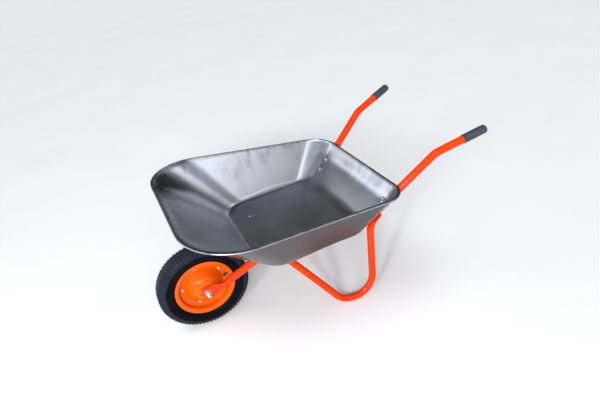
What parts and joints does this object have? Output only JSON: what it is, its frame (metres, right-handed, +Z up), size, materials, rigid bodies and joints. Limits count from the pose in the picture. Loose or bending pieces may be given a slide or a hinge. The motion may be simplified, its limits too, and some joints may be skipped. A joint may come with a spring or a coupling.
{
  "type": "wheelbarrow",
  "caption": "Single-wheel wheelbarrow: an open pressed tray on two bent tube rails that fork round a pneumatic wheel and end in hand grips, standing on bent tube legs.",
  "frame": {"origin": "on the ground, at the middle of the barrow's footprint", "axes": "+X forward, from the grips to the wheel; +Y to the left of the person pushing; +Z up"},
  "size_m": [1.269, 0.754, 0.6074],
  "materials": {
    "galvanised": "zinc-coated, smooth, softly glossy",
    "frame_paint": "glossy orange-red powder coat",
    "rim_paint": "glossy orange paint",
    "zinc": "bright zinc plate",
    "grip_rubber": "matt, moulded",
    "tyre": "matt black tread and sidewalls",
    "valve_rubber": "satin black",
    "bearing_steel": "ground steel"
  },
  "bodies": {
    "frame": {"tray": "galvanised", "frame_tube_left": "frame_paint", "frame_tube_right": "frame_paint", "leg_left": "frame_paint", "leg_right": "frame_paint", "grip_left": "grip_rubber", "grip_right": "grip_rubber", "floor_bolt_left": "zinc", "floor_bolt_right": "zinc", "floor_washer_left": "zinc", "floor_washer_right": "zinc", "floor_nut_left": "zinc", "floor_nut_right": "zinc", "rear_lower_bolt_left": "zinc", "rear_lower_bolt_right": "zinc", "rear_lower_washer_left": "zinc", "rear_lower_washer_right": "zinc", "rear_lower_nut_left": "zinc", "rear_lower_nut_right": "zinc", "rear_upper_bolt_left": "zinc", "rear_upper_bolt_right": "zinc", "rear_upper_washer_left": "zinc", "rear_upper_washer_right": "zinc", "rear_upper_nut_left": "zinc", "rear_upper_nut_right": "zinc", "axle_spacer_left": "zinc", "axle_spacer_right": "zinc", "axle_washer_left": "zinc", "axle_washer_right": "zinc", "axle_bolt": "zinc", "axle_nut": "zinc", "bearing_inner_left": "bearing_steel", "bearing_inner_right": "bearing_steel", "hub_sleeve": "bearing_steel"},
    "wheel": {"tyre": "tyre", "inner_tube": "valve_rubber", "valve_stem": "valve_rubber", "valve_cap": "valve_rubber", "rim_half_left": "rim_paint", "rim_half_right": "rim_paint", "rim_bolt_1": "zinc", "rim_bolt_2": "zinc", "rim_bolt_3": "zinc", "rim_bolt_4": "zinc", "rim_bolt_5": "zinc", "rim_nut_1": "zinc", "rim_nut_2": "zinc", "rim_nut_3": "zinc", "rim_nut_4": "zinc", "rim_nut_5": "zinc", "bearing_outer_left": "bearing_steel", "bearing_outer_right": "bearing_steel", "bearing_cage_left": "bearing_steel", "bearing_cage_right": "bearing_steel"}
  },
  "joints": [
    {"name": "wheel_spin", "type": "hinge", "parent": "frame", "child": "wheel", "pos_m": [0.4565, 0, 0.178], "axis": [0, 1, 0], "continuous": true}
  ]
}
